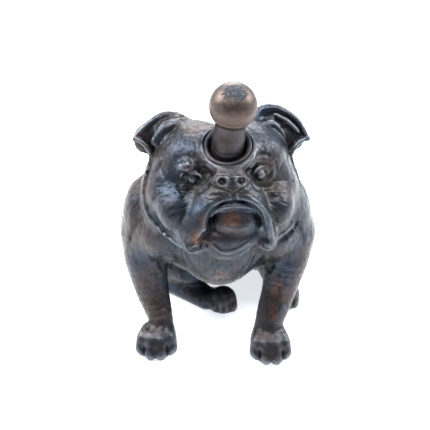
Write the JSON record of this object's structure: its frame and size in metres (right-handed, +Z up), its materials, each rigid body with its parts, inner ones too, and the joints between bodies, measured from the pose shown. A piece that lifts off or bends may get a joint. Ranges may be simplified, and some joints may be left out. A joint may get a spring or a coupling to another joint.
{
  "type": "figural coin bank",
  "caption": "Seated bulldog money box in cast bronze, with a ball-topped press knob in its forehead linked to a hinged coin trap in the seat.",
  "frame": {"origin": "on the floor, under the middle of the whole object's bounding box", "axes": "+Z up, the dog faces -Y, and +X is the dog's left"},
  "size_m": [0.1054, 0.1154, 0.1496],
  "materials": {
    "bronze": "dark brown-black patinated cast bronze, worn to copper on the high spots",
    "knob_bronze": "satin brown bronze",
    "plain_brass": "machined brass",
    "steel": "plain steel"
  },
  "bodies": {
    "dog": {"bulldog_casting": "bronze", "guide_sleeve": "bronze", "sleeve_nut": "plain_brass", "spring_washer": "steel", "seat_plate": "plain_brass", "hinge_pin": "steel", "seat_screw_1": "steel", "seat_screw_2": "steel", "seat_screw_3": "steel"},
    "plunger": {"press_knob": "knob_bronze", "knob_jam_nut": "steel", "push_rod": "steel", "return_spring": "steel", "stop_nut": "steel", "tail_fork": "plain_brass", "fork_pin": "steel"},
    "link": {"link_rod": "steel", "link_clevis": "plain_brass", "link_jam_nut": "steel", "clevis_pin": "steel"},
    "trap": {"trap_door": "plain_brass"}
  },
  "joints": [
    {"name": "press", "type": "slide", "parent": "dog", "child": "plunger", "axis": [-0.1045, 0.0694, -0.9921], "range_m": [0, 0.008], "stiffness_N_per_m": 400, "springref_m": -0.005, "deforming": ["return_spring"]},
    {"name": "link_swing", "type": "hinge", "parent": "plunger", "child": "link", "pos_m": [0.00009, -0.02458, 0.07633], "axis": [1, 0, 0], "range_deg": [0, 5]},
    {"name": "trap_swing", "type": "hinge", "parent": "dog", "child": "trap", "pos_m": [-0.00032, 0.00381, 0.02175], "axis": [-1, 0, 0], "range_deg": [0, 34]}
  ],
  "couplings": [
    {"joint": "link_swing", "follows": "press", "rad_per_m": 10.4},
    {"joint": "trap_swing", "follows": "press", "rad_per_m": 73}
  ]
}
